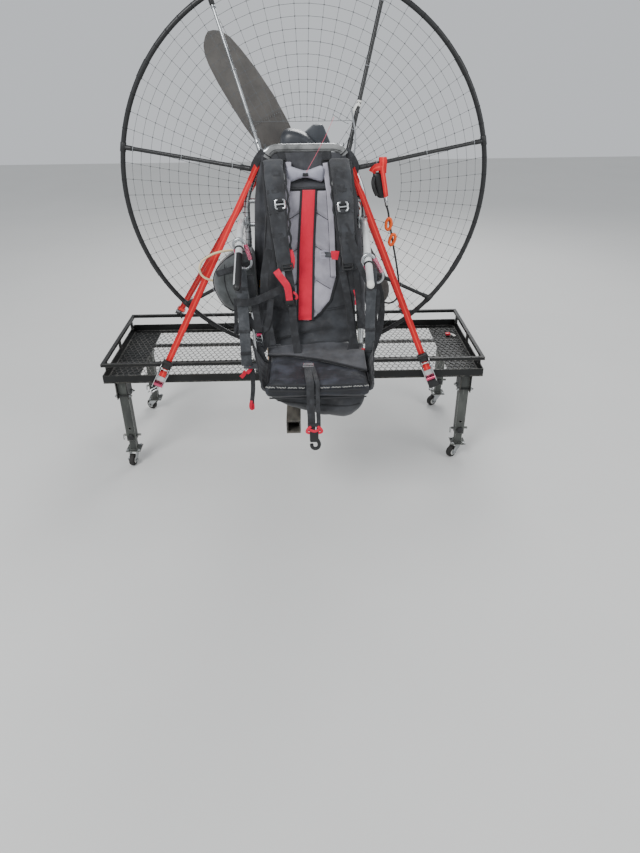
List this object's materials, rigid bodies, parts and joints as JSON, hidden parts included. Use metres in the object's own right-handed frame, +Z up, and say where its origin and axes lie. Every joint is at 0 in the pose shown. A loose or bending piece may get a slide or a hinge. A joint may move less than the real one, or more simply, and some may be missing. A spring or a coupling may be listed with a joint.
{
  "type": "paramotor on a wheeled hitch carrier",
  "caption": "Paramotor with a caged propeller, covered blades and a harness seat, tied down on a steel hitch-mounted carrier that stands on caster legs.",
  "frame": {"origin": "on the floor, under the middle of the whole thing's box; the carrier's middle is 235 mm towards +Y from it", "axes": "+Z up, -Y towards the pilot's side and the open end of the hitch bar, +X to the right as seen from there"},
  "size_m": [1.524, 1.03, 1.782],
  "materials": {
    "black_steel": "satin",
    "deck": "satin",
    "zinc": "satin",
    "wheel": "matte",
    "frame_tube": "satin",
    "hoop_tube": "satin",
    "net": "matte",
    "light_tube": "satin",
    "handle_foam": "matte",
    "cast": "matte",
    "gloss_plastic": "gloss",
    "exhaust": "satin",
    "tank": "satin",
    "hub": "satin",
    "cover": "matte",
    "harness": "matte",
    "headrest": "matte",
    "seat": "matte",
    "arm": "satin",
    "carabiner": "gloss",
    "control": "satin",
    "red_web": "matte"
  },
  "bodies": {
    "carrier": {"tray_floor": "black_steel", "tray_rim": "black_steel", "top_rail": "black_steel", "deck_mesh": "deck", "hitch_tube": "black_steel", "leg_front_left": "black_steel", "leg_front_right": "black_steel", "leg_rear_left": "black_steel", "leg_rear_right": "black_steel", "tie_down_front_left": "red_web", "tie_down_front_right": "red_web", "tie_down_rear_left": "zinc", "tie_down_rear_right": "zinc", "main_frame": "frame_tube", "spar_left": "hoop_tube", "spar_right": "hoop_tube", "spar_upper_left": "light_tube", "spar_upper_right": "hoop_tube", "spar_lower_left": "hoop_tube", "spar_lower_right": "hoop_tube", "hoop_top": "hoop_tube", "hoop_left": "hoop_tube", "hoop_bottom": "hoop_tube", "hoop_right": "hoop_tube", "safety_net": "net", "base_skid": "frame_tube", "fuel_tank": "tank", "crankcase": "cast", "cylinder": "cast", "air_box": "gloss_plastic", "exhaust": "exhaust", "top_handle": "handle_foam", "backrest": "harness", "headrest": "headrest", "seat_cushion": "seat", "seat_bag": "harness", "shoulder_strap_left": "harness", "shoulder_strap_right": "harness", "side_strap_left": "harness", "side_strap_right": "harness", "side_pouch": "harness", "arm_left": "arm", "carabiner_left": "carabiner", "arm_right": "arm", "carabiner_right": "carabiner", "throttle": "control", "throttle_cable": "control", "seat_strap": "harness"},
    "propeller": {"propeller_hub": "hub", "blade_cover_upper": "cover", "blade_cover_lower": "cover"},
    "swivel_front_left": {"caster_fork_front_left": "zinc"},
    "swivel_front_right": {"caster_fork_front_right": "zinc"},
    "swivel_rear_left": {"caster_fork_rear_left": "zinc"},
    "swivel_rear_right": {"caster_fork_rear_right": "zinc"},
    "wheel_front_left": {"caster_wheel_front_left": "wheel"},
    "wheel_front_right": {"caster_wheel_front_right": "wheel"},
    "wheel_rear_left": {"caster_wheel_rear_left": "wheel"},
    "wheel_rear_right": {"caster_wheel_rear_right": "wheel"}
  },
  "joints": [
    {"name": "propeller_turn", "type": "hinge", "parent": "carrier", "child": "propeller", "pos_m": [0.06, 0.22, 1.113], "axis": [0, 1, 0], "continuous": true},
    {"name": "swivel_front_left_turn", "type": "hinge", "parent": "carrier", "child": "swivel_front_left", "pos_m": [-0.7, 0, 0.06], "axis": [0, 0, 1], "continuous": true},
    {"name": "swivel_front_right_turn", "type": "hinge", "parent": "carrier", "child": "swivel_front_right", "pos_m": [0.7, 0, 0.06], "axis": [0, 0, 1], "continuous": true},
    {"name": "swivel_rear_left_turn", "type": "hinge", "parent": "carrier", "child": "swivel_rear_left", "pos_m": [-0.7, 0.47, 0.06], "axis": [0, 0, 1], "continuous": true},
    {"name": "swivel_rear_right_turn", "type": "hinge", "parent": "carrier", "child": "swivel_rear_right", "pos_m": [0.7, 0.47, 0.06], "axis": [0, 0, 1], "continuous": true},
    {"name": "wheel_front_left_roll", "type": "hinge", "parent": "swivel_front_left", "child": "wheel_front_left", "pos_m": [-0.70521, -0.02954, 0.02509], "axis": [0.9848, -0.1736, 0], "continuous": true},
    {"name": "wheel_front_right_roll", "type": "hinge", "parent": "swivel_front_right", "child": "wheel_front_right", "pos_m": [0.67484, -0.01634, 0.02509], "axis": [0.5446, -0.8387, 0], "continuous": true},
    {"name": "wheel_rear_left_roll", "type": "hinge", "parent": "swivel_rear_left", "child": "wheel_rear_left", "pos_m": [-0.72649, 0.48408, 0.02509], "axis": [-0.4695, -0.8829, 0], "continuous": true},
    {"name": "wheel_rear_right_roll", "type": "hinge", "parent": "swivel_rear_right", "child": "wheel_rear_right", "pos_m": [0.67281, 0.45732, 0.02509], "axis": [0.4226, -0.9063, 0], "continuous": true}
  ]
}
